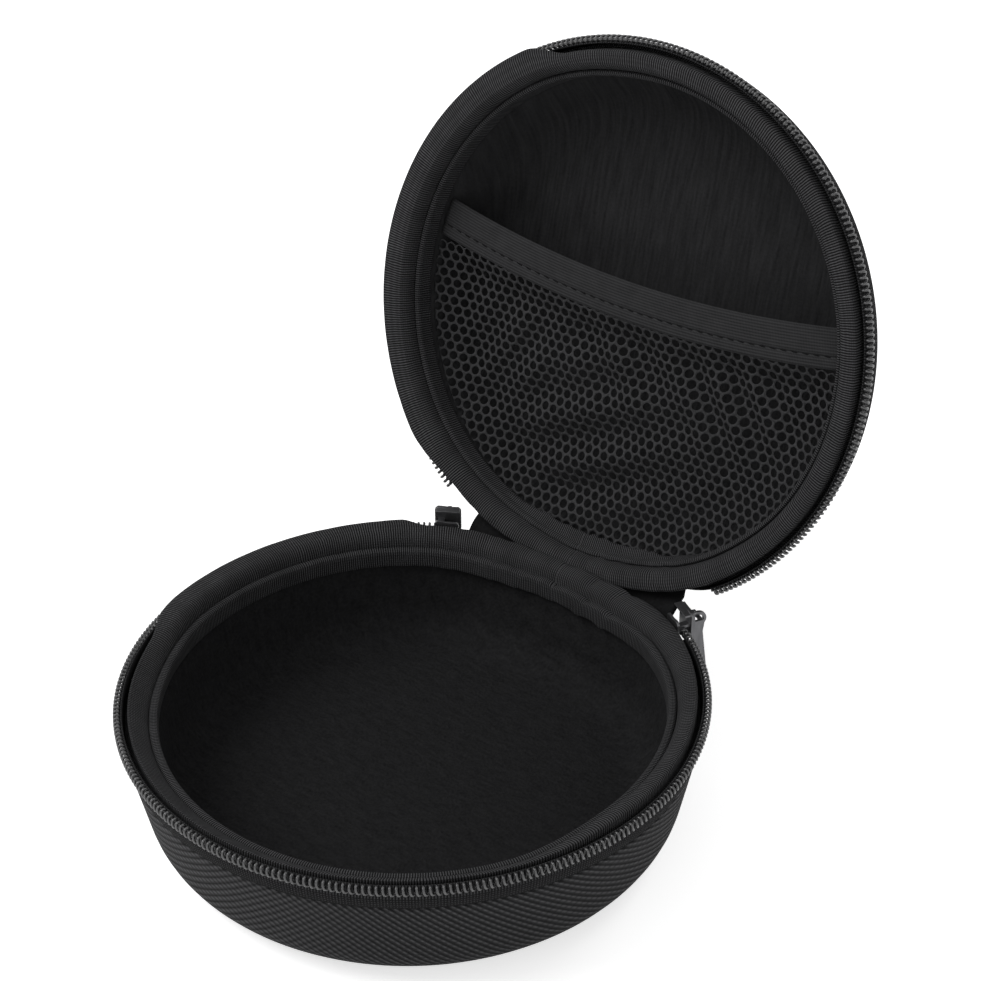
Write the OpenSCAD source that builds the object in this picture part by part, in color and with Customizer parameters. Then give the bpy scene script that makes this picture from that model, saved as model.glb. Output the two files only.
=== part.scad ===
// Round clamshell carrying case for headphones: a deep foam tray and a domed lid, covered in woven
// fabric, lined with fleece, joined by a fabric hinge and closed by a two-slider coil zip.
// Origin: centre of the tray's base. +Z is up, -Y is the front, the hinge is at +Y, and the
// tray stands level. Each half is drawn from the parting plane outwards, as [inset, height]:
// inset runs inwards from the zip line, height runs away from the parting plane.

/* [Outline] */
// Radius of the zip line, which is the round part of the case's outline
zip_r = 85; // [78:1:100]
// How far the hinge side is set in from the full circle, at its middle
back_cut = 9; // [7:0.5:13]
// Radius of the gently bowed hinge side
back_r = 300; // [220:10:500]

/* [Shell] */
// Height of the tray, from its base to the parting plane
tray_depth = 42.6; // [38:0.2:50]
// Height of the lid, from the parting plane to its crown
lid_depth = 31; // [28:0.5:38]
// Lean of the tray's side wall from upright, and of the lid's under its zip tape
wall_lean = 11.5; // [8:0.5:13]
// Lean of the lid's domed wall from upright, beyond its zip tape
dome_lean = 34; // [28:1:38]
// Height from the parting plane at which the wall begins to lean
lean_start = 4; // [3.5:0.5:5]
// Inset of the wall's outer skin at that height
skin_inset = 0.4; // [0.3:0.1:0.8]
// Outside radius between the tray's wall and its base
tray_fillet = 16; // [12:0.5:18]
// Outside radius between the lid's wall and its crown
lid_fillet = 20; // [14:0.5:24]
// Inside radius between a foam wall and its floor or crown
inner_fillet = 14; // [9:0.5:15]
// Thickness of the woven outer cover
cover_t = 1; // [0.6:0.1:1.5]
// Thickness of the tray's foam wall
tray_foam_t = 6; // [4:0.5:7]
// Thickness of the tray's foam base
tray_base_t = 7; // [4:0.5:8.5]
// Thickness of the lid's foam wall
lid_foam_t = 5; // [4:0.5:6]
// Thickness of the lid's foam crown
lid_crown_t = 4; // [2.5:0.5:6]
// Thickness of the tray's fleece lining
tray_lining_t = 1.8; // [0.8:0.1:2.2]
// Thickness of the lid's brushed lining
lid_lining_t = 0.8; // [0.6:0.1:1.8]
// Clearance between two layers of one half
ply_gap = 0.1; // [0.05:0.05:0.3]

/* [Rim] */
// Clearance of each rim from the parting plane when the case is closed
rim_gap = 0.2; // [0.15:0.05:0.5]
// Height of the padded rim band, from the parting plane to the foam's edge
rim_h = 6.5; // [6:0.1:8]
// Inset of the rim band's outer face under the zip
rim_outer = 1.9; // [1.8:0.1:2.2]
// Inset of the rim band's inner edge, at the seam groove
rim_inner = 7.7; // [7.4:0.1:8]
// Radius of the rim band's rolled inner edge
roll_r = 2.6; // [2:0.1:3]
// Radius of the rim band's edge beside the sliders' run
run_edge_r = 1.2; // [0.8:0.1:1.4]
// Height of the recess in the rim band in which the sliders run
run_h = 3.9; // [3.7:0.1:4.2]
// Thickness of the rim band's fabric sleeve
sleeve_t = 0.8; // [0.5:0.1:1]
// Height at which the inner binding begins, beside the rolled edge
binding_from = 2.3; // [2:0.1:3]
// Height over which the binding turns down over the foam's edge
binding_fold = 2.9; // [2.4:0.1:3.4]
// Height at which the inner binding ends
binding_end = 9.4; // [8.5:0.1:11]
// Thickness of the inner binding's lip
binding_t = 1; // [0.6:0.1:1.4]

/* [Zip] */
// Angle of the tray's zip end from the hinge's middle
tray_zip_from = 33; // [32:0.5:35]
// Angle of the lid's zip end from the hinge's middle
lid_zip_from = 36; // [35.5:0.5:40]
// Height at which the coil begins
coil_from = 0.75; // [0.7:0.05:0.9]
// Width of one coil, along the wall
coil_w = 2.35; // [2:0.05:2.5]
// Thickness of the coil, through the wall
coil_t = 2.2; // [1.8:0.1:2.4]
// Thickness of the zip tape
tape_t = 0.5; // [0.4:0.05:0.6]
// Height at which the zip tape ends and the cover begins
tape_end = 9; // [8:0.5:11]

/* [Sliders] */
// Angle of a parked slider from the hinge's middle
slider_at = 31.5; // [31:0.5:32]
// Length of a slider along the zip
slider_l = 8.4; // [7:0.2:9]
// Half width of a slider's outer plate at its shoulders
slider_half_w = 4.4; // [4.2:0.1:4.8]
// Half width of a slider's inner plate
inner_half_w = 2; // [1.6:0.1:2.1]
// Thickness of a slider's outer plate
plate_t = 1.2; // [0.8:0.1:1.5]
// Thickness of a slider's inner plate
inner_plate_t = 0.8; // [0.7:0.05:1]
// Thickness of the post that joins the plates
post_t = 0.9; // [0.6:0.1:1]
// Running clearance between a slider and what it passes
run_clear = 0.3; // [0.2:0.05:0.4]
// Height of the bail's bar above the outer plate
bail_h = 3; // [2.8:0.1:4]
// Radius of the bail's bar
bail_r = 0.7; // [0.5:0.05:0.9]
// Gap between the bail's legs
bail_gap = 4.2; // [3:0.1:5]
// Thickness of the bail's legs along the zip
bail_leg = 0.9; // [0.6:0.1:1.2]

/* [Pulls] */
// Outer radius of a pull's eye
eye_r = 2.6; // [2.4:0.1:2.7]
// Radius of the hole in the eye
eye_hole_r = 1.5; // [1.3:0.05:1.7]
// Length of a pull from its eye's centre to its tip
pull_l = 23; // [18:0.5:26]
// Half width of a pull's blade at its widest
pull_half_w = 3.4; // [2.6:0.1:3.6]
// Half width of a pull at its waist
waist_half_w = 1.6; // [1.2:0.1:2]
// Thickness of a pull
pull_t = 1.3; // [1:0.1:1.8]

/* [Hinge] */
// Distance of the hinge line outside the outline's hinge side
hinge_out = 1.1; // [1:0.1:2]
// Opening angle of the lid as the case stands
open_angle = 105; // [60:1:120]
// Angle of the hinge strip's ends from the hinge's middle
strip_to = 27.5; // [20:0.5:28]
// Thickness of the hinge strip
strip_t = 1.2; // [0.8:0.1:1.4]
// Height that the strip covers on each half
strip_h = 16; // [12:0.5:20]

/* [Pocket] */
// Distance from the centre to the pocket's mouth, at its middle
mouth_y = -12.5; // [-20:0.5:0]
// Sag of the mouth towards the hinge, over the pocket's width
mouth_sag = 7; // [4:0.5:10]
// Half width over which that sag is measured
mouth_half = 70; // [60:1:72]
// Width of the elastic hem
hem_w = 12.5; // [8:0.5:15]
// Thickness of the elastic hem
hem_t = 1.6; // [1:0.1:2]
// Thickness of the net
net_t = 0.6; // [0.4:0.1:0.8]
// Spacing of the net's gaps
net_pitch = 5.6; // [5.5:0.1:7]
// Width of the net's strands
net_strand = 1.3; // [0.8:0.1:1.6]

/* [Hidden] */
$fn = 180;

woven = "#3a3a3c";
ribbed = "#454547";
fleece = "#1c1c1e";
foam = "#2a2a2c";
nylon = "#18181a";
metal = "#6a6a6e";

// The hinge side is an arc too, whose centre lies in front of the case
back_y = zip_r - back_cut;
back_cy = back_y - back_r;
hinge_y = back_y + hinge_out;

tray_stack = cover_t + tray_foam_t + tray_lining_t + 2 * ply_gap;
lid_stack = cover_t + lid_foam_t + lid_lining_t + 2 * ply_gap;
foam_edge = rim_h + ply_gap;
cover_from = tape_end + ply_gap;
overrun = 1;

// Inset of a surface that lies t inside the outer skin, at height h. The wall leans by
// wall_lean as far as the tape's end, and by lean beyond it.
function low_wall(h, t) =
    skin_inset + (h - lean_start) * tan(wall_lean) + t / cos(wall_lean);
function high_wall(h, t, lean) =
    low_wall(tape_end, 0) + (h - tape_end) * tan(lean) + t / cos(lean);
function wall_inset(h, t, lean) = max(low_wall(h, t), high_wall(h, t, lean));

// The point at which that surface bends, if it does so beyond from_h
function bend_h(t, lean) =
    tape_end - t * (1 / cos(lean) - 1 / cos(wall_lean)) / (tan(lean) - tan(wall_lean));
function bend(t, lean, from_h) =
    lean > wall_lean && bend_h(t, lean) > from_h
        ? [[wall_inset(bend_h(t, lean), t, lean), bend_h(t, lean)]] : [];

// Half of a layer's section: down the wall and round the fillet to the base or crown
function skin(t, from_h, base_h, r, lean, steps = 8) =
    let (ci = high_wall(base_h - r, t, lean) + r / cos(lean))
    concat(
        [[wall_inset(from_h, t, lean), from_h]],
        bend(t, lean, from_h),
        [for (i = [0:steps])
            let (a = lean + (90 - lean) * i / steps)
            [ci - r * cos(a), base_h - r + r * sin(a)]]);

// A path of [inset, height] carried round the outline, and filled inwards to the centre
module form(path) {
    first = path[0].y;
    last = path[len(path) - 1].y;
    intersection() {
        rotate_extrude()
            polygon(concat([for (p = path) [zip_r - p.x, p.y]], [[0, last], [0, first]]));
        translate([0, back_cy, 0]) rotate_extrude()
            polygon(concat([for (p = path) [back_r - p.x, p.y]], [[0, last], [0, first]]));
    }
}

// The same path, run on past its two ends so that it cuts right through
function through(path) = concat(
    [[path[0].x, path[0].y - overrun]],
    path,
    [[path[len(path) - 1].x, path[len(path) - 1].y + overrun]]);

// A closed band round the outline, between an outer and an inner path
module band(outer, inner) {
    difference() {
        form(outer);
        form(through(inner));
    }
}

// A section drawn as [inset, height], swept along the round part between two angles
// measured from the hinge's middle
module round_sweep(from_a, points) {
    rotate([0, 0, 90 + from_a]) rotate_extrude(angle = 360 - 2 * from_a)
        polygon([for (p = points) [zip_r - p.x, p.y]]);
}

// The same along the bowed hinge side, to an angle either side of its middle
module back_sweep(half_a, points) {
    translate([0, back_cy, 0]) rotate([0, 0, 90 - half_a]) rotate_extrude(angle = 2 * half_a)
        polygon([for (p = points) [back_r - p.x, p.y]]);
}

// The outline's face at an inset
module outline_face(inset) {
    intersection() {
        circle(r = zip_r - inset);
        translate([0, back_cy]) circle(r = back_r - inset);
    }
}

// One layer of a half: its wall, its fillet and its flat
module layer(t, thick, base_off, base_t, depth, lean, from_h, r_out, r_in) {
    difference() {
        form(skin(t, from_h, depth - base_off, r_out, lean));
        form(skin(t + thick, from_h - overrun, depth - base_off - base_t, r_in, lean));
    }
}

// Places for the two halves, which are drawn with their parting plane at zero
module in_tray() {
    translate([0, 0, tray_depth]) mirror([0, 0, 1]) children();
}

module in_lid() {
    translate([0, hinge_y, tray_depth]) rotate([-open_angle, 0, 0])
        translate([0, -hinge_y, 0]) children();
}

module cover(depth, lean, fillet) {
    layer(0, cover_t, 0, cover_t, depth, lean, cover_from, fillet, fillet - cover_t);
}

module shell(depth, lean, fillet, foam_t, base_t) {
    skin_off = cover_t + ply_gap;
    layer(skin_off, foam_t, skin_off, base_t, depth, lean, foam_edge,
        fillet - skin_off, inner_fillet);
}

module lining(depth, lean, foam_t, base_t, lining_t) {
    wall_off = cover_t + foam_t + 2 * ply_gap;
    base_off = cover_t + base_t + 2 * ply_gap;
    layer(wall_off, lining_t, base_off, lining_t, depth, lean, foam_edge,
        inner_fillet - ply_gap, inner_fillet - ply_gap - lining_t);
}

// Insets of the faces that the sliders' inner plates run between: the tape and the recess.
// A straight plate rides inside the round tape by its bow.
tape_face = coil_t / 2;
plate_bow = pow(slider_l, 2) / (8 * zip_r);
inner_plate_inset = tape_face + tape_t + run_clear + plate_bow;
run_inset = inner_plate_inset + inner_plate_t + run_clear;

// A rounded top edge of a rim: a quarter turn about [inset, height], towards side 1 or -1
function edge(inset, height, r, side) =
    [for (a = [0:30:90]) [inset + side * r * sin(a), height - r * cos(a)]];

// Faces of the padded rim, t inside its sleeve: outside, the recess for the sliders; inside,
// the rolled edge
function rim_outside(t) = concat(
    edge(run_inset + run_edge_r, rim_gap + run_edge_r, run_edge_r - t, -1),
    [[run_inset + t, run_h + t], [rim_outer + t, run_h + t + ply_gap],
        [rim_outer + t, rim_h - t]]);
function rim_inside(t) = concat(
    edge(rim_inner - roll_r, rim_gap + roll_r, roll_r - t, 1),
    [[rim_inner - t, rim_h - t]]);

module rim_core() {
    band(rim_outside(sleeve_t), rim_inside(sleeve_t));
}

module rim_band() {
    difference() {
        band(rim_outside(0), rim_inside(0));
        rim_core();
    }
}

// The inner binding: folded over the foam's edge, with a lip down the lining
module binding(stack, lean) {
    lip = wall_inset(rim_h, stack, lean) + ply_gap;
    end = wall_inset(binding_end, stack, lean) + ply_gap;
    band(
        [[rim_inner + ply_gap, binding_from], [rim_inner + ply_gap, rim_h], [lip, rim_h],
            [end, binding_end]],
        [[rim_inner + binding_t, binding_from], [lip, binding_from + binding_fold / 3],
            [lip + binding_t, binding_from + binding_fold], [end + binding_t, binding_end]]);
}

// Section of the zip tape: behind the coil, then out to the skin and down the wall
tape_from = 0.9;
tape_bend = 3.6;
tape_out = 5;
tape_section = [
    [tape_face, tape_from], [tape_face, tape_bend],
    [low_wall(tape_out, 0), tape_out], [low_wall(tape_end, 0), tape_end],
    [low_wall(tape_end, tape_t), tape_end], [low_wall(tape_out, tape_t), tape_out],
    [tape_face + tape_t, tape_bend + 0.1], [tape_face + tape_t, tape_from]
];

// Section of one coil: a flattened round, with its face out
coil_top = coil_from + coil_w;
coil_cut = 0.55;
coil_back = tape_face - 0.05;
coil_section = [
    [-tape_face, coil_from + coil_cut], [-tape_face + coil_cut, coil_from],
    [coil_back, coil_from], [coil_back, coil_top],
    [-tape_face + coil_cut, coil_top], [-tape_face, coil_top - coil_cut]
];

// Section of the hinge strip: down the wall, then out to the hinge line
strip_in = -ply_gap;
strip_out = -ply_gap - strip_t;
strip_from = 0.5;
strip_edge = 0.9;
hinge_inset = back_y - hinge_y;
function strip_section(lean) = concat(
    [[wall_inset(strip_h, strip_in, lean), strip_h],
        [wall_inset(strip_h, strip_out, lean), strip_h]],
    bend(strip_out, lean, lean_start),
    [[low_wall(lean_start, strip_out), lean_start],
        [hinge_inset, strip_from], [hinge_inset + strip_edge, strip_from],
        [low_wall(lean_start, strip_in), lean_start]],
    bend(strip_in, lean, lean_start));

module hinge_strip(lean) {
    strip_half = asin(back_y * sin(strip_to) / back_r);
    back_sweep(strip_half, strip_section(lean));
}

// The hem follows an arc whose centre lies in front of the case
mouth_r = (pow(mouth_half, 2) + pow(mouth_sag, 2)) / (2 * mouth_sag);
mouth_cy = mouth_y - mouth_r;
pocket_h = binding_end + ply_gap;
net_inset = wall_inset(pocket_h + net_t, lid_stack, dome_lean) + ply_gap;
hem_inset = wall_inset(pocket_h + hem_t, lid_stack, dome_lean) + ply_gap;

// Where the net's gaps lie: a staggered grid, clear of the hem and of the binding's lip
row_step = net_pitch * sqrt(3) / 2;
gap_r = (net_pitch - net_strand) / sqrt(3);
net_margin = gap_r + net_strand / 2;
lip_inset = wall_inset(binding_end, lid_stack, dome_lean) + ply_gap + binding_t;
net_rows = floor((back_y - mouth_y) / row_step);
net_cols = ceil(zip_r / net_pitch);

function in_net(p) =
    norm([p.x, p.y - mouth_cy]) > mouth_r + hem_w + net_margin
    && norm(p) < zip_r - lip_inset - net_margin
    && norm([p.x, p.y - back_cy]) < back_r - lip_inset - net_margin;

gap_places = [
    for (row = [0:net_rows], col = [-net_cols:net_cols])
        let (p = [(col + (row % 2) / 2) * net_pitch, mouth_y + row * row_step])
        if (in_net(p)) p
];
echo(net_gaps = len(gap_places));

// ---- The two halves ----

module tray_cover() {
    color(woven) in_tray() cover(tray_depth, wall_lean, tray_fillet);
}

module tray_shell() {
    color(foam) in_tray()
        shell(tray_depth, wall_lean, tray_fillet, tray_foam_t, tray_base_t);
}

module tray_lining() {
    color(fleece) in_tray()
        lining(tray_depth, wall_lean, tray_foam_t, tray_base_t, tray_lining_t);
}

module tray_rim_band() {
    color(ribbed) in_tray() rim_band();
}

module tray_rim_core() {
    color(foam) in_tray() rim_core();
}

module tray_binding() {
    color(ribbed) in_tray() binding(tray_stack, wall_lean);
}

module tray_zip_tape() {
    color(woven) in_tray() round_sweep(lid_zip_from, tape_section);
}

module tray_zip_coil() {
    color(nylon) in_tray() round_sweep(tray_zip_from, coil_section);
}

module tray_hinge_strip() {
    color(woven) in_tray() hinge_strip(wall_lean);
}

module lid_cover() {
    color(woven) in_lid() cover(lid_depth, dome_lean, lid_fillet);
}

module lid_shell() {
    color(foam) in_lid() shell(lid_depth, dome_lean, lid_fillet, lid_foam_t, lid_crown_t);
}

module lid_lining() {
    color(fleece) in_lid()
        lining(lid_depth, dome_lean, lid_foam_t, lid_crown_t, lid_lining_t);
}

module lid_rim_band() {
    color(ribbed) in_lid() rim_band();
}

module lid_rim_core() {
    color(foam) in_lid() rim_core();
}

module lid_binding() {
    color(ribbed) in_lid() binding(lid_stack, dome_lean);
}

module lid_zip_tape() {
    color(woven) in_lid() round_sweep(lid_zip_from, tape_section);
}

module lid_zip_coil() {
    color(nylon) in_lid() round_sweep(lid_zip_from, coil_section);
}

module lid_hinge_strip() {
    color(woven) in_lid() hinge_strip(dome_lean);
}

// ---- The net pocket in the lid ----

module pocket_net() {
    color(ribbed) in_lid() translate([0, 0, pocket_h]) linear_extrude(height = net_t)
        difference() {
            outline_face(net_inset);
            translate([0, mouth_cy]) circle(r = mouth_r + hem_w);
            for (p = gap_places) translate(p) rotate(30) circle(r = gap_r, $fn = 6);
        }
}

module pocket_hem() {
    color(ribbed) in_lid() translate([0, 0, pocket_h]) linear_extrude(height = hem_t)
        intersection() {
            circle(r = zip_r - hem_inset);
            difference() {
                translate([0, mouth_cy]) circle(r = mouth_r + hem_w);
                translate([0, mouth_cy]) circle(r = mouth_r);
            }
        }
}

// ---- The sliders: x runs along the zip, y out of the wall and z up, from the zip line ----

plate_y = tape_face + 1.5 * run_clear;
bar_y = plate_y + plate_t + bail_h;
inner_y = -inner_plate_inset - inner_plate_t;
flange_y = -0.5;
flange_in = coil_top + 1.5 * run_clear;

module at_slider(side) {
    mirror([side, 0, 0]) translate([0, 0, tray_depth]) rotate([0, 0, -slider_at])
        translate([0, zip_r, 0]) children();
}

// A plate seen from outside: narrow at the tail, wide at the shoulders
module slider_outline(half_w, tail_w, l) {
    cut = 0.8;
    polygon([
        [-l / 2, -tail_w + cut], [-l / 2 + cut, -tail_w], [0, -tail_w],
        [l / 4, -half_w], [l / 2 - cut, -half_w], [l / 2, -half_w + cut],
        [l / 2, half_w - cut], [l / 2 - cut, half_w], [l / 4, half_w],
        [0, tail_w], [-l / 2 + cut, tail_w], [-l / 2, tail_w - cut]
    ]);
}

module upright(y, t) {
    translate([0, y + t, 0]) rotate([90, 0, 0]) linear_extrude(height = t) children();
}

module slider(side) {
    color(metal) at_slider(side) {
        upright(plate_y, plate_t) slider_outline(slider_half_w, slider_half_w - 0.2, slider_l);
        upright(inner_y, inner_plate_t)
            slider_outline(inner_half_w, inner_half_w - 0.4, slider_l - 0.8);
        translate([slider_l / 8, inner_y, -post_t / 2])
            cube([slider_l / 4, plate_y - inner_y + plate_t / 2, post_t]);
        for (up = [0, 1]) mirror([0, 0, up])
            translate([-slider_l / 2 + 0.4, flange_y, flange_in])
                cube([slider_l - 0.8, plate_y - flange_y + plate_t / 2,
                    slider_half_w - 0.2 - flange_in]);
    }
}

module slider_bail(side) {
    color(metal) at_slider(side) {
        for (end = [-1, 1])
            translate([end * (bail_gap + bail_leg) / 2 - bail_leg / 2, plate_y + plate_t, -bail_r])
                cube([bail_leg, bail_h, 2 * bail_r]);
        translate([-bail_gap / 2 - bail_leg, bar_y, 0]) rotate([0, 90, 0])
            cylinder(h = bail_gap + 2 * bail_leg, r = bail_r);
    }
}

// A pull hangs from the bail's bar by its eye, edge on to the zip
module pull(side) {
    eye_drop = eye_hole_r - bail_r - 0.2;
    blade_l = pull_l - pull_half_w;
    color(metal) at_slider(side) translate([-pull_t / 2, bar_y, -eye_drop])
        rotate([90, 0, 90]) linear_extrude(height = pull_t) difference() {
            union() {
                circle(r = eye_r);
                polygon([
                    [-eye_r * 0.8, -eye_r * 0.6], [-waist_half_w, -2 * eye_r],
                    [-pull_half_w, -blade_l], [pull_half_w, -blade_l],
                    [waist_half_w, -2 * eye_r], [eye_r * 0.8, -eye_r * 0.6]
                ]);
                translate([0, -blade_l]) circle(r = pull_half_w);
            }
            circle(r = eye_hole_r);
        }
}

module slider_right() { slider(0); }
module slider_left() { slider(1); }
module slider_bail_right() { slider_bail(0); }
module slider_bail_left() { slider_bail(1); }
module pull_right() { pull(0); }
module pull_left() { pull(1); }

tray_cover();
tray_shell();
tray_lining();
tray_rim_band();
tray_rim_core();
tray_binding();
tray_zip_tape();
tray_zip_coil();
tray_hinge_strip();
lid_cover();
lid_shell();
lid_lining();
lid_rim_band();
lid_rim_core();
lid_binding();
lid_zip_tape();
lid_zip_coil();
lid_hinge_strip();
pocket_net();
pocket_hem();
slider_right();
slider_left();
slider_bail_right();
slider_bail_left();
pull_right();
pull_left();
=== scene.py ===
# %% [markdown]
# # A zipped headphone case
#
# The case is a deep foam tray and a domed foam lid, covered in woven cloth and joined by a fabric
# hinge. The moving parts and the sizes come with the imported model, so this script only dresses
# them. Nearly everything on the case is a strip carried round one outline, so the outline comes
# first and most pieces are a section swept along it.

import math

import bmesh
import bpy
import numpy as np
from mathutils import Matrix, Vector


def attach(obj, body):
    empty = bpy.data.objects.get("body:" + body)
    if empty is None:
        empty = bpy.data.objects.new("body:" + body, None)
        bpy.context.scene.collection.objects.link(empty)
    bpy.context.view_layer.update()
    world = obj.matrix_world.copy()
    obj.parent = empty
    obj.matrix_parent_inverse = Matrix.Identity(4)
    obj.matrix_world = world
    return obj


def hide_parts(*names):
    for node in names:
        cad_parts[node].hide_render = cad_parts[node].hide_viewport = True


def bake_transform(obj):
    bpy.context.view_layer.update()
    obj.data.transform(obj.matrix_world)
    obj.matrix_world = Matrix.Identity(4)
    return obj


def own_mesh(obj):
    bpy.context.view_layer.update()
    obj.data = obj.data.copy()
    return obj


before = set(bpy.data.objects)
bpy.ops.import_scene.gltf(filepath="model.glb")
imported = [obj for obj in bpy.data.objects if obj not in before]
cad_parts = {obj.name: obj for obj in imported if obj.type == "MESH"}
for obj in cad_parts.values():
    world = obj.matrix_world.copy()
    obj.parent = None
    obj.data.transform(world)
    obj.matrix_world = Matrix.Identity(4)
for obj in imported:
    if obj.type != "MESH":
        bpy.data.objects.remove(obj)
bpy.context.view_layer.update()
MM = 0.001
TAU = 2 * math.pi

# %% [markdown]
# ## The camera
#
# The camera was fitted to the two zip rings, which are round and so give the view away. It is set
# by its azimuth, height and distance, and its lens by the picture's width in pixels.

# %% Camera
AZIMUTH, ELEVATION, ROLL = math.radians(37.611), math.radians(32.953), math.radians(-0.47)
DISTANCE = 676.43 * MM
PICTURE_PX, FOCAL_PX, SENSOR_MM = 981, 2362.9, 36
AIM = np.array([0, 40, 101.015]) * MM
SHIFT_RIGHT, SHIFT_UP = -1.496 * MM, -10.346 * MM


def camera_axes():
    """Right, up and back of the camera: back points from the case to the camera, and right and up
    are turned about it by the roll."""
    ca, sa, ce, se = np.cos(AZIMUTH), np.sin(AZIMUTH), np.cos(ELEVATION), np.sin(ELEVATION)
    back = np.array([sa * ce, -ca * ce, se])
    right = np.array([ca, sa, 0])
    up = np.cross(back, right)
    cr, sr = np.cos(ROLL), np.sin(ROLL)
    return right * cr + up * sr, -right * sr + up * cr, back


right, up, back = camera_axes()
camera_data = bpy.data.cameras.new("camera")
camera_data.sensor_width = SENSOR_MM
camera_data.lens = SENSOR_MM * FOCAL_PX / PICTURE_PX
camera = bpy.data.objects.new("camera", camera_data)
bpy.context.scene.collection.objects.link(camera)
matrix = np.eye(4)
matrix[:3, 0], matrix[:3, 1], matrix[:3, 2] = right, up, back
matrix[:3, 3] = AIM + back * DISTANCE + right * SHIFT_RIGHT + up * SHIFT_UP
camera.matrix_world = Matrix(matrix.tolist())
bpy.context.scene.camera = camera
print("lens", round(camera_data.lens, 1), "mm")

# %% [markdown]
# ## The outline and the two halves
#
# Seen from above the case is a circle, cut by a gently bowed arc at the hinge. Every strip keeps a
# fixed inset from the zip line, so one function gives the outline at any inset. A soft minimum of
# the two arcs rounds the corners where they meet.
#
# At the hinge the rims of the real case swell past the line of the solids, and the lid's rests
# against the tray's. So the outline has a fuller back edge close to the zip and for the pieces
# inside. Outside it fades out, where the walls pass each other when the lid lies right back.

# %% Sizes shared with the solids
ZIP_R = 85 * MM
BACK_Y, BACK_R = 76 * MM, 300 * MM
FULL_BACK = {"tray": (79.3 * MM, 230 * MM), "lid": (82.8 * MM, 170 * MM)}
FULL_TO, FADE = 3 * MM, 4 * MM
TRAY_DEPTH, LID_DEPTH = 42.6 * MM, 31 * MM
HINGE_Y, OPEN = 77.1 * MM, math.radians(105)
SKIN_INSET, LEAN_START, TAPE_END = 0.4 * MM, 4 * MM, 9 * MM
WALL_LEAN, DOME_LEAN = math.radians(11.5), math.radians(34)
CORNER_SOFT, DEEP = 1.6 * MM, 99 * MM
AROUND = 480


def smooth_step(value):
    """0 below 0 and 1 above 1. Between, three times its square less twice its cube."""
    v = np.clip(value, 0, 1)
    return v * v * (3 - 2 * v)


def outline(phi, inset, half, h=DEEP):
    """x and y of the outline at angle phi from the hinge's middle. The radius is the soft minimum
    of the circle's and of the bowed arc's: the smaller one, less s times the logarithm of the sum
    of exp of how far each lies above it, over s. The arc is fuller where h is close to the zip."""
    full = 1 - smooth_step((h - FULL_TO) / FADE)
    back_y = BACK_Y + (FULL_BACK[half][0] - BACK_Y) * full
    back_r = BACK_R + (FULL_BACK[half][1] - BACK_R) * full
    cy = back_y - back_r
    round_r = ZIP_R - inset
    bowed_r = cy * np.cos(phi) + np.sqrt((back_r - inset) ** 2 - (cy * np.sin(phi)) ** 2)
    least = np.minimum(round_r, bowed_r)
    spread = np.exp((least - round_r) / CORNER_SOFT) + np.exp((least - bowed_r) / CORNER_SOFT)
    r = least - CORNER_SOFT * np.log(spread)
    return r * np.sin(phi), r * np.cos(phi)


def place(x, y, h, half):
    """Points of one half, from plan and height h away from the parting plane, in the row frame.
    The tray's height runs down. The lid's runs up, and the lid is turned back about the hinge."""
    x, y, h = np.broadcast_arrays(x, y, h)
    if half == "tray":
        return np.stack([x, y, TRAY_DEPTH - h], -1)
    c, s = math.cos(-OPEN), math.sin(-OPEN)
    dy = y - HINGE_Y
    return np.stack([x, HINGE_Y + dy * c - h * s, TRAY_DEPTH + dy * s + h * c], -1)


def low_wall(h, t=0.0):
    """Inset of a surface t inside the skin, in the part of the wall next to the zip: it grows with
    the height by the tangent of the wall's lean."""
    return SKIN_INSET + (h - LEAN_START) * math.tan(WALL_LEAN) + t / math.cos(WALL_LEAN)


def wall(h, t, lean):
    """The same at any height: past the tape the wall leans by lean, and the inner of the two
    straight lines is taken."""
    beyond = low_wall(TAPE_END) + (h - TAPE_END) * math.tan(lean) + t / math.cos(lean)
    return np.maximum(low_wall(h, t), beyond)


def wall_path(t, from_h, depth, fillet, lean):
    """[inset, h] down a wall and round its fillet: straight lines, then an arc from the wall's
    lean to level."""
    arc_h = depth - fillet + fillet * math.sin(lean)
    h = np.linspace(from_h, arc_h, 14)[:-1]
    centre = float(wall(depth - fillet, t, lean)) + fillet / math.cos(lean)
    if lean > WALL_LEAN:
        centre = float(low_wall(TAPE_END) + (depth - fillet - TAPE_END) * math.tan(lean)
                       + (t + fillet) / math.cos(lean))
    a = np.linspace(lean, math.pi / 2, 12)
    arc = np.stack([centre - fillet * np.cos(a), depth - fillet + fillet * np.sin(a)], -1)
    return np.concatenate([np.stack([wall(h, t, lean), h], -1), arc])


# %% [markdown]
# ## From numbers to meshes
#
# A grid of points becomes a mesh in one step. Each grid carries a UV map in metres, so a cloth's
# weave keeps its real size however the strip bends.

# %% Mesh helpers
def make_mesh(name, points, faces, uvs=None, outward=True):
    """A smooth-shaded object from points and faces. Closed shapes get their faces turned
    outwards."""
    mesh = bpy.data.meshes.new(name)
    mesh.from_pydata(np.asarray(points, float).tolist(), [], [list(map(int, f)) for f in faces])
    if uvs is not None:
        layer = mesh.uv_layers.new(name="weave")
        layer.data.foreach_set("uv", np.asarray(uvs, np.float32).ravel())
    if outward:
        work = bmesh.new()
        work.from_mesh(mesh)
        bmesh.ops.remove_doubles(work, verts=work.verts, dist=1e-7)
        bmesh.ops.recalc_face_normals(work, faces=work.faces)
        work.to_mesh(mesh)
        work.free()
    mesh.polygons.foreach_set("use_smooth", np.ones(len(mesh.polygons), bool))
    mesh.validate()
    mesh.update()
    made = bpy.data.objects.new(name, mesh)
    bpy.context.scene.collection.objects.link(made)
    return made


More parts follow.
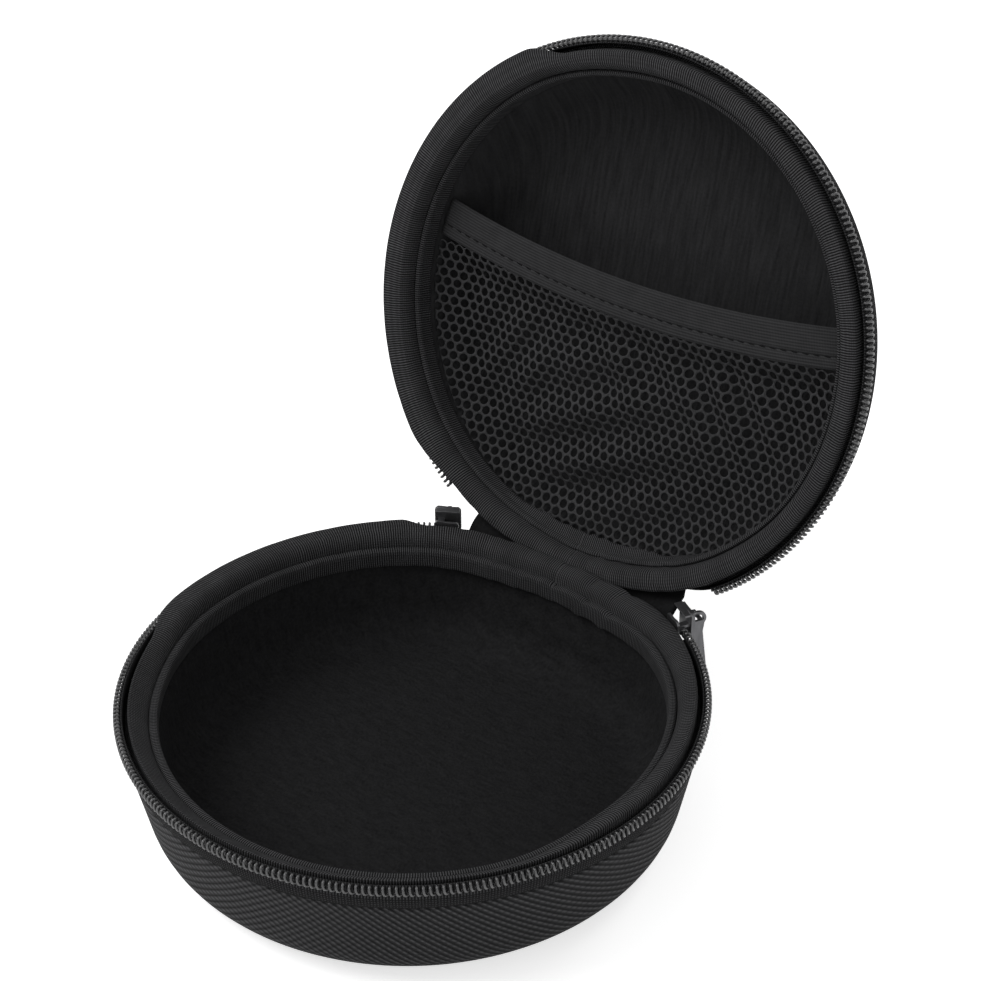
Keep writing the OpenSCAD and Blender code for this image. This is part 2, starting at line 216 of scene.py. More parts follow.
def grid_faces(rows, cols, wrap):
    """Quads of a grid whose columns close into a ring, as its rows do where wrap is set, and the
    row and column steps of each corner for its UV."""
    i, j = np.meshgrid(np.arange(rows if wrap else rows - 1), np.arange(cols), indexing="ij")
    i, j = i.ravel(), j.ravel()
    step_i = np.stack([i, i + 1, i + 1, i], 1)
    step_j = np.stack([j, j, j + 1, j + 1], 1)
    return (step_i % rows) * cols + step_j % cols, step_i, step_j


def grid_uv(points, step_i, step_j, distances):
    """UVs in metres: along the strip from its own distances, across it by the section's length."""
    section = np.linalg.norm(np.diff(points[0], axis=0, append=points[0][:1]), axis=1)
    across = np.concatenate([[0], np.cumsum(section)])
    return np.stack([distances[step_i], across[step_j]], -1).reshape(-1, 2)


def ring(name, points):
    """A mesh from a grid of points that closes both ways: sections carried round the outline."""
    rows, cols = points.shape[:2]
    faces, step_i, step_j = grid_faces(rows, cols, True)
    distances = np.arange(rows + 1) * TAU / rows * ZIP_R
    uvs = grid_uv(points, step_i, step_j, distances)
    return make_mesh(name, points.reshape(-1, 3), faces, uvs)


def capped(name, points, distances=None):
    """A mesh from a grid of points whose sections close, with a cap on the first and on the last.
    distances are the rows' places along the strip, for a UV map."""
    rows, cols = points.shape[:2]
    faces, step_i, step_j = grid_faces(rows, cols, False)
    last = (rows - 1) * cols
    caps = [list(range(cols)), list(range(last, last + cols))[::-1]]
    uvs = None
    if distances is not None:
        uvs = np.concatenate([grid_uv(points, step_i, step_j, distances), np.zeros((2 * cols, 2))])
    return make_mesh(name, points.reshape(-1, 3), faces.tolist() + caps, uvs)


# %% [markdown]
# ## Strips and shells
#
# A rim or a tape is one section carried round the outline. A cover or a lining is a bowl: its path
# down the wall is carried round too, and then drawn in to the middle of the base. A curve with a
# bevel could do the first, but its section couldn't change on the way, so both are grids.

# %% Strips, shells and what they stand for
FLOOR_SHARES = np.array([0.82, 0.64, 0.46, 0.28, 0.1, 0.0])


def sweep(name, section, half, bump=None, level=None):
    """Carries a closed section round the outline. section gives its points of [inset, h] at each
    angle. bump adds to both at each point. level is the height at which the outline is read, if
    that isn't each point's own."""
    phi = np.linspace(0, TAU, AROUND, endpoint=False)
    cut = section(phi)
    inset, h = cut[..., 0], cut[..., 1]
    if bump is not None:
        share = np.arange(cut.shape[1])[None, :] / cut.shape[1]
        d_inset, d_h = bump(phi[:, None], share, inset)
        inset, h = inset + d_inset, h + d_h
    x, y = outline(phi[:, None], inset, half, h if level is None else level)
    return ring(name, place(x, y, h, half))


def shell(name, path, inner, half, levels=(DEEP, DEEP)):
    """A closed cloth shell: the outer path swept round and drawn in to the middle of the base by
    the floor's shares, then the inner path back out to the rim. levels are the heights at which
    the outline is read for the two paths: 0 for the fuller one."""
    phi = np.linspace(0, TAU, AROUND, endpoint=False)[:, None]

    def flanks(one, level):
        x, y = outline(phi, one[None, :, 0], half, level)
        h = np.broadcast_to(one[None, :, 1], x.shape)
        flat_x, flat_y = x[:, -1:] * FLOOR_SHARES, y[:, -1:] * FLOOR_SHARES
        flat_h = np.broadcast_to(h[:, -1:], flat_x.shape)
        return (np.concatenate([x, flat_x], 1), np.concatenate([y, flat_y], 1),
                np.concatenate([h, flat_h], 1))

    out, back_side = flanks(path, levels[0]), [a[:, ::-1] for a in flanks(inner, levels[1])]
    x, y, h = (np.concatenate([a, b], 1) for a, b in zip(out, back_side))
    return ring(name, place(x, y, h, half))


def dress(piece, body, slot, material, *nodes):
    """Material, body and the solids that a piece stands for. slot, the finish slot, is not used.
    """
    piece.data.materials.clear()
    piece.data.materials.append(material)
    if body:
        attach(piece, body)
    if nodes:
        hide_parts(*nodes)
    print(piece.name, len(piece.data.polygons), "faces")
    return piece


# %% [markdown]
# ## Building materials from nodes
#
# Each finish is a small web of nodes. These helpers add a node and link or set its inputs, so a
# finish reads as a list of what it is made from.

# %% Node helpers
def node(tree, kind, settings=None, out=0, **inputs):
    """Adds a shader node. Inputs given as sockets are linked, and others are set."""
    made = tree.nodes.new("ShaderNode" + kind)
    for key, value in (settings or {}).items():
        setattr(made, key, value)
    for key, value in inputs.items():
        numbered = key[1:].isdigit()
        socket = made.inputs[int(key[1:]) if numbered else key.replace("_", " ")]
        if isinstance(value, bpy.types.NodeSocket):
            tree.links.new(value, socket)
        else:
            socket.default_value = value
    return made.outputs[out]


def calc(tree, operation, a, b=0.0):
    """One sum with one or two values."""
    return node(tree, "Math", {"operation": operation}, i0=a, i1=b)


def scaled(tree, value, factor, plus=0.0):
    """The value times a factor, plus something."""
    return node(tree, "Math", {"operation": "MULTIPLY_ADD"}, i0=value, i1=factor, i2=plus)


def wave(tree, value, length):
    """A ridge from 0 to 1 that repeats every length: a half plus half a sine."""
    sine = calc(tree, "SINE", scaled(tree, value, TAU / length))
    return scaled(tree, sine, 0.5, 0.5)


def along(tree, vector, direction):
    """How far a point lies along a direction."""
    return node(tree, "VectorMath", {"operation": "DOT_PRODUCT"}, out=1, i0=vector, i1=direction)


def noise(tree, vector, scale, detail=3.0):
    """Soft blotches of about one over scale in size, with ever finer ones on top."""
    return node(tree, "TexNoise", Vector=vector, Scale=scale, Detail=detail)


def ramp(tree, value, dark, light):
    """A colour from dark at 0 to light at 1."""
    made = tree.nodes.new("ShaderNodeValToRGB")
    made.color_ramp.elements[0].color = (*dark, 1)
    made.color_ramp.elements[1].color = (*light, 1)
    tree.links.new(value, made.inputs[0])
    return made.outputs[0]


def grey(level):
    """A near black with a trace of blue."""
    return (level, level, level * 1.04)


def finish(name, recipe, rough=0.8, specular=0.25, metallic=0.0, bump_mm=0.1):
    """A material. recipe(tree, object coordinates, weave coordinates) gives its colour and its
    height from 0 to 1, and bump_mm is what that height stands for."""
    material = bpy.data.materials.new(name)
    material.use_nodes = True
    tree = material.node_tree
    shader = tree.nodes["Principled BSDF"]
    coordinates = tree.nodes.new("ShaderNodeTexCoord")
    colour, height = recipe(tree, coordinates.outputs["Object"], coordinates.outputs["UV"])
    tree.links.new(colour, shader.inputs["Base Color"])
    bumped = node(tree, "Bump", Strength=1.0, Distance=bump_mm * MM, Height=height)
    tree.links.new(bumped, shader.inputs["Normal"])
    settings = {"Roughness": rough, "Specular IOR Level": specular, "Metallic": metallic}
    for key, value in settings.items():
        shader.inputs[key].default_value = value
    return material


# %% [markdown]
# ## The outer twill
#
# The outside is a coarse twill, whose fat diagonal ribs run straight through the sheet, so they
# are worked out from the place in space and not along the wall. On the level top and base the
# beads of each rib run across it instead. An image of cloth would have seams where its edges meet,
# and waves have none.

# %% Twill
TWILL_RIB, TWILL_BEAD = 2.1 * MM, 1.75 * MM
TWILL_WANDER = 1.6 * MM
TURN_FROM, TURN_TO = -0.01, 0.045


def turned(direction, half):
    """A direction given for the shut case, turned with the lid where the half is the lid."""
    if half == "tray":
        return direction
    x, y, z = direction
    c, s = math.cos(-OPEN), math.sin(-OPEN)
    return (x, y * c - z * s, y * s + z * c)


def twill(half):
    """The twill of one half. A wave along one slanted line makes the ribs, and a wave along the
    other cuts them into beads. The height is the main wave times 0.55 plus 0.45 of the cross one,
    and the two change places towards the right, where the weave's direction turns."""
    def recipe(tree, point, weave):
        up_sign = -1 if half == "tray" else 1
        rib_at = along(tree, point, turned((0.558, 0.431, 0.707 * up_sign), half))
        bead_at = along(tree, point, turned((0.558, 0.431, -0.707 * up_sign), half))
        rib_at = scaled(tree, noise(tree, point, 45.0), TWILL_WANDER, rib_at)
        rib = calc(tree, "POWER", wave(tree, rib_at, TWILL_RIB), 0.6)
        normal = node(tree, "TexCoord", out=1)
        level = calc(tree, "ABSOLUTE", along(tree, normal, turned((0, 0, 1), half)))
        level = node(tree, "MapRange", Value=level, From_Min=0.7, From_Max=0.97)
        level_at = along(tree, point, turned((0.611, -0.791, 0), half))
        bead = node(tree, "Mix", Factor=level, A=wave(tree, bead_at, TWILL_BEAD),
                    B=wave(tree, level_at, TWILL_BEAD))
        to_right = along(tree, point, (1, 0, 0))
        turn = node(tree, "MapRange", Value=to_right, From_Min=TURN_FROM, From_Max=TURN_TO)
        main = node(tree, "Mix", Factor=turn, A=rib, B=bead)
        cross = node(tree, "Mix", Factor=turn, A=bead, B=rib)
        height = calc(tree, "MULTIPLY", main, scaled(tree, cross, 0.45, 0.55))
        mottle = scaled(tree, noise(tree, point, 900.0), 0.22)
        # The colour follows the rib's height and is darker down in the grooves: painted shade,
        # with a random mottle on top.
        tone_with_painted_shade = scaled(tree, calc(tree, "POWER", height, 1.4), 0.85, mottle)
        return ramp(tree, tone_with_painted_shade, grey(0.001), grey(0.085)), height
    return finish("twill_" + half, recipe, rough=0.8, specular=0.08, bump_mm=0.9)


# %% [markdown]
# ## Tape, band, linings and the rest
#
# The narrow strips' ribs follow the strip however it bends, so those finishes read the UV map,
# which is in metres. The linings, foam, nylon and metal have no direction of their own, or an
# upright one, and read the place in space.

# %% Tapes, bands and elastic
TAPE_THREAD, BAND_RIB, BAND_THREAD = 0.85 * MM, 0.8 * MM, 0.8 * MM
BAND_WANDER, ELASTIC_LINE, ELASTIC_THREAD = 1.3 * MM, 0.9 * MM, 0.5 * MM


def strip_axes(tree, weave):
    """Distances along a strip and across it."""
    return along(tree, weave, (1, 0, 0)), along(tree, weave, (0, 1, 0))


def plain_weave(tree, point, weave):
    """Square threads: one wave along the tape times one across it, with a little fuzz."""
    u, v = strip_axes(tree, weave)
    height = calc(tree, "MULTIPLY", wave(tree, u, TAPE_THREAD), wave(tree, v, TAPE_THREAD))
    # The colour follows the threads' height: painted shade between the threads, with a random fuzz
    # on top.
    tone_with_painted_shade = scaled(tree, noise(tree, point, 1400.0), 0.2, height)
    return ramp(tree, tone_with_painted_shade, grey(0.001), grey(0.062)), height


def ribbed_tape(tree, point, weave):
    """Ribs across the band, which wander a little, each cut lightly into threads. Soft patches
    make some stretches of it darker."""
    u, v = strip_axes(tree, weave)
    ribs = wave(tree, scaled(tree, noise(tree, point, 110.0), BAND_WANDER, u), BAND_RIB)
    height = calc(tree, "MULTIPLY", ribs, scaled(tree, wave(tree, v, BAND_THREAD), 0.3, 0.7))
    # The colour is the height times the soft patches: painted shade between the ribs, and random
    # darker stretches of cloth.
    tone_with_painted_shade = calc(tree, "MULTIPLY", height, scaled(tree, noise(tree, point, 140.0), 0.5, 0.65))
    return ramp(tree, tone_with_painted_shade, grey(0.003), grey(0.098)), height


def elastic(tree, point, weave):
    """Lines along the hem, with fine threads across them and soft patches."""
    u, v = strip_axes(tree, weave)
    fine = scaled(tree, wave(tree, u, ELASTIC_THREAD), 0.25)
    height = scaled(tree, wave(tree, v, ELASTIC_LINE), 0.4, fine)
    # The colour follows the height: painted shade between the lines, with random patches on top.
    tone_with_painted_shade = scaled(tree, noise(tree, point, 300.0), 0.3, height)
    return ramp(tree, tone_with_painted_shade, grey(0.008), grey(0.05)), height


# %% Linings, foam, yarn, nylon and metal
def fleece(tree, point, weave):
    """A fine nap, and a pile that lies in one direction: noise stretched along it."""
    nap = noise(tree, point, 1100.0, 5.0)
    laid = node(tree, "Mapping", Vector=point, Scale=(220.0, 700.0, 220.0),
                Rotation=(0.0, 0.0, 0.65))
    height = scaled(tree, nap, 0.6, scaled(tree, noise(tree, laid, 1.0, 2.0), 0.4))
    return ramp(tree, height, grey(0.001), grey(0.03)), height


def brushed(tree, point, weave):
    """Upright streaks: noise that is fine across the lid and long up it, with a little fuzz."""
    across, upright = along(tree, point, (1, 0, 0)), along(tree, point, (0, 0.26, 0.966))
    streak_point = node(tree, "CombineXYZ", X=scaled(tree, across, 900.0),
                        Y=scaled(tree, upright, 70.0), Z=0.0)
    fuzz = scaled(tree, noise(tree, point, 1200.0), 0.3)
    height = scaled(tree, noise(tree, streak_point, 1.0, 4.0), 0.7, fuzz)
    return ramp(tree, height, grey(0.002), grey(0.038)), height


def plated(tree, point, weave):
    """Faint upright scratches in a metal coat."""
    scratched = node(tree, "Mapping", Vector=point, Scale=(900.0, 900.0, 120.0))
    scratch = noise(tree, scratched, 1.0, 4.0)
    return ramp(tree, scratch, grey(0.08), grey(0.16)), scratch


def closed_foam(tree, point, weave):
    """Small closed cells."""
    cells = node(tree, "TexVoronoi", Vector=point, Scale=1500.0)
    return ramp(tree, cells, grey(0.012), grey(0.03)), cells


def speckled(scale, detail, dark, light):
    """A plain finish with a fine speckle: noise from a dark to a light grey."""
    def recipe(tree, point, weave):
        height = noise(tree, point, scale, detail)
        return ramp(tree, height, grey(dark), grey(light)), height
    return recipe


yarn, nylon = speckled(1600.0, 2.0, 0.01, 0.06), speckled(500.0, 2.0, 0.018, 0.04)
# A near black speckle, darker than the covers. The hinge strip takes it as painted shade, for
# cloth that lies sunk between the rims. The stitches take it as black thread with the painted
# shade of their needle pits.
black_for_shade_and_thread = speckled(1200.0, 3.0, 0.003, 0.016)

mat_tape = finish("zip_tape", plain_weave, rough=0.85, specular=0.06, bump_mm=0.45)
mat_band = finish("ribbed_tape", ribbed_tape, rough=0.85, specular=0.06, bump_mm=0.4)
mat_fleece = finish("fleece", fleece, rough=0.95, specular=0.02, bump_mm=0.6)
mat_brushed = finish("brushed", brushed, rough=0.95, specular=0.02, bump_mm=0.4)
mat_elastic = finish("elastic", elastic, rough=0.8, specular=0.06, bump_mm=0.15)
mat_hinge_shade = finish("hinge_cloth_painted_shade", black_for_shade_and_thread, rough=0.95, specular=0.08, bump_mm=0.1)
mat_net = finish("net_yarn", yarn, rough=0.75, specular=0.1, bump_mm=0.06)
mat_foam = finish("foam", closed_foam, rough=0.9, specular=0.15, bump_mm=0.1)
mat_coil = finish("nylon_coil", nylon, rough=0.28, specular=0.7, bump_mm=0.02)
mat_metal = finish("plated_zinc", plated, rough=0.4, metallic=0.9, bump_mm=0.02)
mat_thread = finish("thread", black_for_shade_and_thread, rough=0.9, specular=0.05, bump_mm=0.05)
print("finishes:", sorted(material.name for material in bpy.data.materials))

# %% [markdown]
# ## Covers and linings
#
# Each half is a foam bowl with cloth pressed on both faces. A thin surface with a solidify
# modifier would do for each. Here both faces are worked out, because the three fit inside each
# other to a tenth of a millimetre. One function makes all of them from a path down the wall, round
# the fillet and to the middle.

# %% Covers and linings
COVER_T, PLY, COVER_FROM = 1.0 * MM, 0.1 * MM, 9.1 * MM
FOAM = {"tray": (6 * MM, 7 * MM), "lid": (5 * MM, 4 * MM)}
LINING_T = {"tray": 1.8 * MM, "lid": 0.8 * MM}
DEPTH = {"tray": TRAY_DEPTH, "lid": LID_DEPTH}
LEAN = {"tray": WALL_LEAN, "lid": DOME_LEAN}
FILLET = {"tray": 16 * MM, "lid": 20 * MM}
INNER_FILLET, FOAM_EDGE = 14 * MM, 6.6 * MM


def cover_piece(half):
    """The woven cover: from the tape's end down the outside, and back a cloth's thickness in."""
    depth, lean, fillet = DEPTH[half], LEAN[half], FILLET[half]
    outer = wall_path(0.0, COVER_FROM, depth, fillet, lean)
    inner = wall_path(COVER_T, COVER_FROM, depth - COVER_T, fillet - COVER_T, lean)
    piece = shell(half + "_skin", outer, inner, half)
    return dress(piece, half, "ballistic_twill", twill(half), half + "_cover")


def lining_piece(half, material, slot):
    """The lining: against the foam's inside, and back its own thickness further in."""
    foam_t, base_t = FOAM[half]
    depth, lean, t = DEPTH[half], LEAN[half], COVER_T + foam_t + 2 * PLY
    base = depth - COVER_T - base_t - 2 * PLY
    thick = LINING_T[half]
    outer = wall_path(t, FOAM_EDGE, base, INNER_FILLET - PLY, lean)
    inner = wall_path(t + thick, FOAM_EDGE, base - thick, INNER_FILLET - PLY - thick, lean)
    piece = shell(half + "_liner", outer, inner, half, (0, 0))
    return dress(piece, half, slot, material, half + "_lining")


def foam_piece(half):
    """The moulded foam between them, with the fuller back edge on its inside only."""
    foam_t, base_t = FOAM[half]
    depth, lean, skin = DEPTH[half], LEAN[half], COVER_T + PLY
    outer = wall_path(skin, FOAM_EDGE, depth - skin, FILLET[half] - skin, lean)
    inner = wall_path(skin + foam_t, FOAM_EDGE, depth - skin - base_t, INNER_FILLET, lean)
    piece = shell(half + "_foam", outer, inner, half, (DEEP, 0))
    return dress(piece, half, "moulded_foam", mat_foam, half + "_shell")


cover_tray, cover_lid = cover_piece("tray"), cover_piece("lid")
foam_tray, foam_lid = foam_piece("tray"), foam_piece("lid")
liner_tray = lining_piece("tray", mat_fleece, "fleece_lining")
liner_lid = lining_piece("lid", mat_brushed, "brushed_lining")

# %% [markdown]
# ## The padded rims and their bindings
#
# Round each opening runs a soft roll, and inside it a folded binding that hides the foam's edge.
# A deep groove parts them. Cloth that goes round a tight bend bunches up, so both pieces widen and
# wrinkle at the hinge, and creases cross the roll where the rims press on each other. Sculpting
# could add that by hand. Sines and bells do it evenly, and can be changed by a number.

# %% Bunched cloth
RIM_H, GROOVE = 6.5 * MM, {"tray": 8.7 * MM, "lid": 8.2 * MM}
CREASES = {"tray": (-2, 9, 17), "lid": (4, 22, -14)}
CREASE_WIDE, BUNCHED_TO = math.radians(1.1), math.radians(32)
CORNER_AT, CORNER_WIDE, CORNER_MORE = math.radians(24), math.radians(20), 1.7 * MM


def smooth_loops(sections, count):
    """A closed line through the corners of each section of a stack, by Catmull-Rom: between two
    corners runs the cubic that passes both, and at each its slope is half the step between the
    corner's neighbours."""
    corners = sections.shape[1]
    t = np.linspace(0, corners, count, endpoint=False)
    i, f = np.floor(t).astype(int), (t % 1)[:, None]
    a, b, c, d = (sections[:, (i + k) % corners] for k in (-1, 0, 1, 2))
    return 0.5 * (2 * b + (c - a) * f + (2 * a - 5 * b + 4 * c - d) * f ** 2
                  + (3 * b - a - 3 * c + d) * f ** 3)


def stack(points, phi):
    """A stack of sections, one for each angle, from (inset, h) pairs in mm that may vary with
    it."""
    corners = [np.broadcast_arrays(inset, h, phi)[:2] for inset, h in points]
    return np.moveaxis(np.array(corners), -1, 0)


def from_hinge(phi):
    """How far an angle is from the hinge's middle, either way round."""
    return np.abs((phi + math.pi) % TAU - math.pi)


def bunching(half, size, inner_from):
    """Adds to inset and height round the rim: three sines as ripples that grow towards the hinge
    by a bell, narrow bells as creases at their own angles, and at the hinge's corners a wider
    inner side."""
    def bump(phi, s, inset):
        near = np.exp(-(from_hinge(phi) / BUNCHED_TO) ** 2)
        ripple = (np.sin(37 * phi + 5 * s) + 0.7 * np.sin(61 * phi - 9 * s + 1.3)
                  + 0.5 * np.sin(95 * phi + 14 * s + 0.4))
        amount = size * (0.1 + 0.9 * near) * ripple / 2.2
        slant = 0.12 * (s - 0.5)
        crease = sum(np.exp(-((phi - math.radians(at) + slant) / CREASE_WIDE) ** 2)
                     for at in CREASES[half])
        corner = np.exp(-((from_hinge(phi) - CORNER_AT) / CORNER_WIDE) ** 2)
        widen = CORNER_MORE * corner * np.clip((inset - inner_from) / (3 * MM), 0, 1)
        return np.abs(amount) * 0.35 + widen, amount * 0.6 + 1.3 * size * crease
    return bump


# %% [markdown]
# ## How the roll changes on its way round
#
# Round the tray's front the roll slopes down behind the coil. Towards the hinge it swells until
# it stands proud, and on the left it leans out over the coil. Each of these could be a piece of
# its own, with a seam at each end. A window over the angle with soft ends leaves no seam.

# %% Windows over the angle
SWELL_TO, SWELL_FADE = math.radians(122), math.radians(26)
# first and last angle and the taper at the slider in degrees, and the reach in mm
LEANING = {"tray": (-112, -35.5, 6, 3.4), "lid": (-158, -33, 18, 4.2)}
LEAN_TAPER = math.radians(10)
WIDER, WIDER_FROM, WIDER_TO = 1.3 * MM, math.radians(25), math.radians(215)
WIDER_RISE, WIDER_FALL = math.radians(25), math.radians(30)


def swell(half, phi):
    """How far the roll stands proud: 1 at the hinge, and in the tray 0 from its sides forwards."""
    if half == "lid":
        return np.ones_like(phi)
    return smooth_step((SWELL_TO - from_hinge(phi)) / SWELL_FADE)


def leaning(half, phi):
    """How far in mm the roll leans out over the coil: in full along the left side, up to the
    slider. Two smooth steps, one up and one down, are multiplied."""
    way = (phi + math.pi) % TAU - math.pi
    first, last, taper, reach = LEANING[half]
    return (smooth_step((way - math.radians(first)) / LEAN_TAPER)
            * smooth_step((math.radians(last) - way) / math.radians(taper))) * reach


def widening(half, phi):
    """The lid's roll is wider along the top and the right, by a window of the same kind."""
    way = phi % TAU
    if half == "tray":
        return np.zeros_like(phi)
    return WIDER * (smooth_step((way - WIDER_FROM) / WIDER_RISE)
                    * smooth_step((WIDER_TO - way) / WIDER_FALL))


# %% Rims and bindings
RIM_ROUND, BINDING_ROUND = 44, 36
BINDING_END, BINDING_T = 8.6 * MM, 0.9 * MM


def rim_section(half):
    """The roll's section: a proud roll and a slope that falls behind the coil, mixed by swell.
    Both lists start beside the coil and go over the top, down the groove and back below."""
    def cut(phi):
        groove = (GROOVE[half] + widening(half, phi)) / MM
        lean = leaning(half, phi)
        proud = stack([(3.05, 1.0), (3.05, 0.25), (3.15 - lean, -0.35), (3.45 - lean, -0.9),
                       (4.2 - 0.6 * lean, -1.15), (5.3, -1.1), (groove - 1.9, -0.55),
                       (groove - 0.8, 0.6), (groove - 0.25, 2.1), (groove - 0.1, 3.9),
                       (groove - 0.3, 6.2), (5.0, 6.4), (2.2, 6.3), (2.1, 5.4),
                       (3.05, 4.2)], phi)
        sloped = stack([(3.05, 1.9), (3.05, 1.4), (3.15, 1.0), (3.45, 0.95), (4.2, 1.45),
                        (5.3, 2.2), (6.3, 2.95), (7.4, 3.8), (8.2, 4.6), (8.6, 5.4),
                        (8.4, 6.3), (5.0, 6.4), (2.2, 6.3), (2.1, 5.4), (3.05, 4.2)], phi)
        share = swell(half, phi)[:, None, None]
        return smooth_loops((proud * share + sloped * (1 - share)) * MM, RIM_ROUND)
    return cut


def binding_section(half):
    """The binding's section: out of the groove, over its lip, down the lining's face and back
    behind the foam's edge. It lies lower where the roll does."""
    foam_t, lean = FOAM[half][0], LEAN[half]
    inside = COVER_T + foam_t + LINING_T[half] + 2 * PLY
    lip = float(wall(RIM_H, inside, lean)) / MM + 0.1
    end = float(wall(BINDING_END, inside, lean)) / MM + 0.1
    last, thick = BINDING_END / MM, BINDING_T / MM

    def cut(phi):
        groove = (GROOVE[half] + widening(half, phi)) / MM
        low = 1 - swell(half, phi)
        top = np.maximum(lip + 0.5, groove + 1.2)
        points = [(groove + 0.05, 3.6 + 2.1 * low), (groove + 0.5, 2.9 + 2.3 * low),
                  (top - 0.1, 2.9 + 2.3 * low), (top + 0.6, 3.7 + 2.0 * low),
                  (top + 0.75, 5.3 + 1.2 * low), (end + thick, last - 0.6),
                  (end + 0.75 * thick, last), (end + 0.05, last),
                  (lip + 0.05, 6.8), (lip - 0.6, 6.45), (groove + 0.1, 6.25)]
        return smooth_loops(stack(points, phi) * MM, BINDING_ROUND)
    return cut


rims, bindings = {}, {}
for half in ("tray", "lid"):
    rim = sweep(half + "_rim", rim_section(half), half, bump=bunching(half, 0.5 * MM, 4 * MM))
    rims[half] = dress(rim, half, "ribbed_tape", mat_band, half + "_rim_band", half + "_rim_core")
    binding = sweep(half + "_edge_binding", binding_section(half), half,
                    bump=bunching(half, 0.55 * MM, 0), level=0)
    bindings[half] = dress(binding, half, "ribbed_tape", mat_band, half + "_binding")

# %% [markdown]
# ## The rims' own meshes
#
# The rolls are soft and stand proud of the plane where the halves meet. When the case shuts they
# press on each other and give. Here each rim only gets a mesh of its own, and the point at the
# rim's height above the middle is printed.

# %% Each rim gets its own mesh
for half, axis in (("tray", (0, 0, 1)), ("lid", (0, math.sin(OPEN), math.cos(OPEN)))):
    anchor = place(0, 0, RIM_H, half)
    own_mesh(rims[half])
    print(half, "rim is anchored at", np.round(anchor / MM, 1), "mm")

# %% [markdown]
# ## The zip's tapes
#
# Each half of a zip is woven onto a narrow tape, which is sewn to the wall with the coil along its
# edge. It could be a band of colour on the cover, but its weave is finer and its upper edge turns
# in behind the coil, so it is a strip of its own.

# %% Zip tapes
TAPE_T, TAPE_FACE, TAPE_W = 0.5 * MM, 1.1 * MM, 10 * MM
TAPE_TOP, TAPE_DIP = 0.95 * MM, 3.8 * MM
DIP_TO, DIP_FADE = math.radians(34), math.radians(3)
BEND_FROM, BEND_TO = 3.6 * MM, 5 * MM


def tape_section(phi):
    """The tape's section at each angle: behind the coil, out to the skin and down the wall. Its
    top edge dips under the sliders near the hinge."""
    rise = smooth_step((from_hinge(phi) - DIP_TO) / DIP_FADE)
    top = TAPE_TOP + TAPE_DIP * (1 - rise)
    h_outer = np.stack([top, np.maximum(top, 2.3 * MM), np.maximum(top + 0.02 * MM, BEND_FROM),
                        np.full_like(phi, BEND_TO), np.full_like(phi, 7 * MM),
                        np.full_like(phi, TAPE_END)], -1)

    def face(h, t):
        coil_side, wall_side = TAPE_FACE + t, low_wall(BEND_TO, t)
        bend = np.clip((h - BEND_FROM) / (BEND_TO - BEND_FROM), 0, 1)
        return np.where(h > BEND_TO, low_wall(h, t), coil_side + (wall_side - coil_side) * bend)

    outer = np.stack([face(h_outer, 0.0), h_outer], -1)
    inner = np.stack([face(h_outer, TAPE_T), h_outer], -1)
    return np.concatenate([outer, inner[:, ::-1]], 1)


tapes = {}
for half in ("tray", "lid"):
    tape = sweep(half + "_tape", tape_section, half, level=DEEP)
    tapes[half] = dress(tape, half, "zip_tape", mat_tape, half + "_zip_tape")

# %% [markdown]
# ## The zip's coils
#
# A coil zip is one nylon thread wound into flattened loops. A row of separate rings would do from
# afar. One tube along a real helix shows the square bars on top and the slanted legs below them,
# with dark gaps between.

# %% Zip coils
LID_ZIP_FROM, TRAY_ZIP_FROM = math.radians(36), math.radians(33)
COIL_PITCH, COIL_THREAD_R, COIL_H, COIL_HALF_H, COIL_HALF_T = (
    1.75 * MM, 0.43 * MM, 1.75 * MM, 1.15 * MM, 0.68 * MM)
COIL_STEPS, COIL_SIDES, ADVANCE_SHARE = 12, 5, 0.58


def squared(value):
    """A sine or cosine made squarer: its sign times its size to the power 0.7."""
    return np.sign(value) * np.abs(value) ** 0.7


def coil(name, half, start):
    """A tube along a flattened helix. Each turn goes down the inner side, under, up the outer side
    and back over the top. All of its advance along the zip, one smooth step a turn, is made on the
    way under and up, so the bars on top lie square to the zip, as they do on a wound coil."""
    turns = int((TAU - 2 * start) * ZIP_R / COIL_PITCH)
    t = np.arange(turns * COIL_STEPS + 1) / COIL_STEPS
    q = t % 1
    advance = np.floor(t) + smooth_step(q / ADVANCE_SHARE)
    phi = start + (TAU - 2 * start) * advance / turns
    inset = COIL_HALF_T * squared(np.cos(TAU * q))
    h = COIL_H + COIL_HALF_H * squared(np.sin(TAU * q))
    line = place(*outline(phi, inset, half), h, half)
    tangent = np.gradient(line, axis=0)
    tangent /= np.linalg.norm(tangent, axis=1, keepdims=True)
    zip_phi = start + (TAU - 2 * start) * t / turns
    zip_way = np.gradient(place(*outline(zip_phi, 0 * t, half), COIL_H, half), axis=0)
    side = zip_way - (zip_way * tangent).sum(1, keepdims=True) * tangent
    side /= np.linalg.norm(side, axis=1, keepdims=True)
    other = np.cross(tangent, side)
    about = (np.arange(COIL_SIDES) / COIL_SIDES * TAU)[:, None]
    points = line[:, None] + COIL_THREAD_R * (side[:, None] * np.cos(about)
                                              + other[:, None] * np.sin(about))
    print(name, turns, "loops")
    return capped(name, points)


dress(coil("tray_coil", "tray", TRAY_ZIP_FROM), "tray", "nylon_coil", mat_coil, "tray_zip_coil")
dress(coil("lid_coil", "lid", LID_ZIP_FROM), "lid", "nylon_coil", mat_coil, "lid_zip_coil")

# %% [markdown]
# ## The fabric hinge
#
# One strip of cloth is sewn to both halves and bends between them. The solids show it as two
# halves. Here it is a single piece, up the tray's wall, across a fold and up the lid's, made for
# the lid as it lies open.

# %% Hinge
STRIP_HALF = math.radians(27.5)
STRIP_H, STRIP_TOP, STRIP_T = 16 * MM, 5 * MM, 0.9 * MM
STRIP_OFF, STRIP_BULGE = 0.15 * MM, 1.6 * MM


